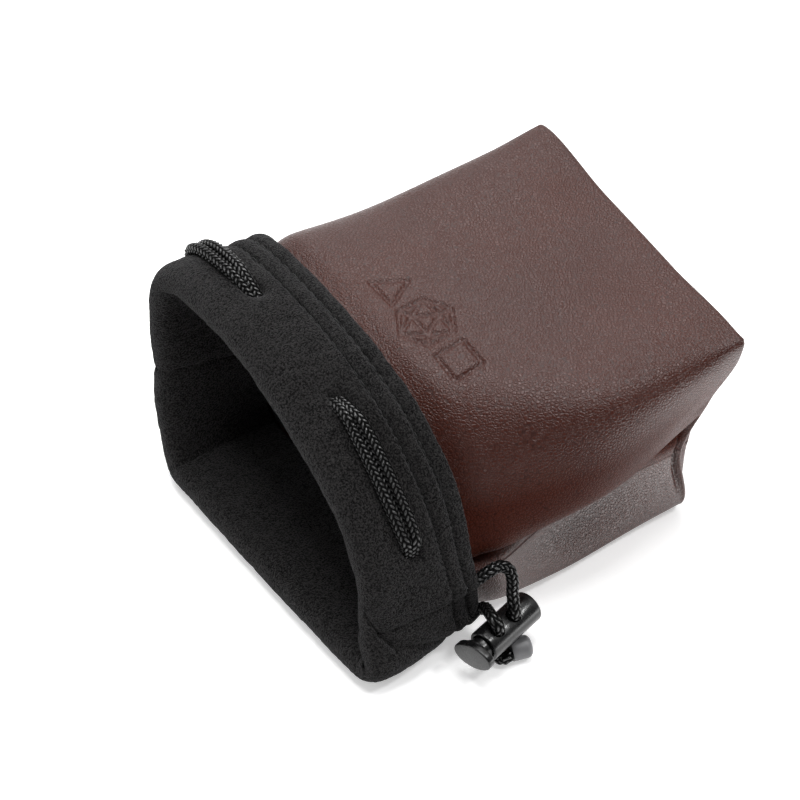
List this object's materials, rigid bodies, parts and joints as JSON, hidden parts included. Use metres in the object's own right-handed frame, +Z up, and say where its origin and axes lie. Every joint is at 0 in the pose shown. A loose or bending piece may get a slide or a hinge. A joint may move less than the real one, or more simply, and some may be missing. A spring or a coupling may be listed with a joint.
{
  "type": "drawstring dice bag",
  "caption": "Soft boxed pouch in leatherette with a fleece lining and folded fleece collar, closed by a braided drawstring and a sprung barrel cord lock.",
  "frame": {"origin": "on the table under the middle of the pouch as it lies on its back panel", "axes": "+Z up, +Y from the mouth towards the base, +X towards the side that carries the cord lock"},
  "size_m": [0.1383, 0.1328, 0.0764],
  "materials": {
    "leather": "dark red-brown leatherette with a fine pebble grain and a soft semi-gloss",
    "fleece": "short-pile charcoal black fleece, fully matte",
    "thread": "black polyester sewing thread",
    "cord": "round braided black nylon cord with a slight shine",
    "cord_end": "satin dark grey moulded plastic",
    "lock": "satin black moulded plastic",
    "spring": "bright spring steel"
  },
  "bodies": {
    "bag": {"leather_front_panel": "leather", "leather_back_panel": "leather", "lining_front_panel": "fleece", "lining_back_panel": "fleece"},
    "mouth_front": {"collar_front": "fleece", "collar_front_stitching_1": "thread", "collar_front_stitching_2": "thread", "drawstring_front_outer_turn": "cord", "drawstring_front_inner_turn": "cord"},
    "mouth_back": {"collar_back": "fleece", "collar_back_stitching_1": "thread", "collar_back_stitching_2": "thread", "drawstring_back_outer_turn": "cord", "drawstring_back_inner_turn": "cord"},
    "cord_tails": {"drawstring_tail_1": "cord", "drawstring_tail_2": "cord"},
    "cord_lock": {"lock_barrel": "lock", "lock_spring": "spring"},
    "plunger": {"lock_plunger": "lock"},
    "cord_end": {"drawstring_end_1": "cord", "drawstring_end_2": "cord", "cord_end_bell": "cord_end", "cord_end_knot": "cord"}
  },
  "joints": [
    {"name": "mouth_front_close", "type": "slide", "parent": "bag", "child": "mouth_front", "axis": [0, 0, -1], "range_m": [0, 0.028], "deforming": ["collar_front", "leather_front_panel", "lining_front_panel", "collar_front_stitching_1", "collar_front_stitching_2", "drawstring_front_outer_turn", "drawstring_front_inner_turn"]},
    {"name": "mouth_back_close", "type": "slide", "parent": "bag", "child": "mouth_back", "axis": [0, 0, 1], "range_m": [0, 0.01], "deforming": ["collar_back", "leather_back_panel", "lining_back_panel", "collar_back_stitching_1", "collar_back_stitching_2", "drawstring_back_outer_turn", "drawstring_back_inner_turn"]},
    {"name": "cord_draw", "type": "slide", "parent": "bag", "child": "cord_tails", "axis": [1, 0, 0], "range_m": [0, 0.0112], "deforming": ["drawstring_tail_1", "drawstring_tail_2"]},
    {"name": "lock_slide", "type": "slide", "parent": "cord_tails", "child": "cord_lock", "axis": [0.2366, 0.0535, 0.9701], "range_m": [0, 0.004], "deforming": ["drawstring_tail_1", "drawstring_tail_2"]},
    {"name": "plunger_press", "type": "slide", "parent": "cord_lock", "child": "plunger", "axis": [-0.2205, 0.9754, 0], "range_m": [0, 0.0018], "stiffness_N_per_m": 400, "deforming": ["lock_spring"]},
    {"name": "end_swing", "type": "hinge", "parent": "cord_tails", "child": "cord_end", "pos_m": [0.0563, -0.0254, 0.003], "axis": [0, 0, 1], "range_deg": [-25, 0], "deforming": ["drawstring_end_1", "drawstring_end_2"]}
  ],
  "couplings": [
    {"joint": "mouth_back_close", "follows": "mouth_front_close", "ratio": 0.357},
    {"joint": "cord_draw", "follows": "mouth_front_close", "ratio": 0.4}
  ]
}
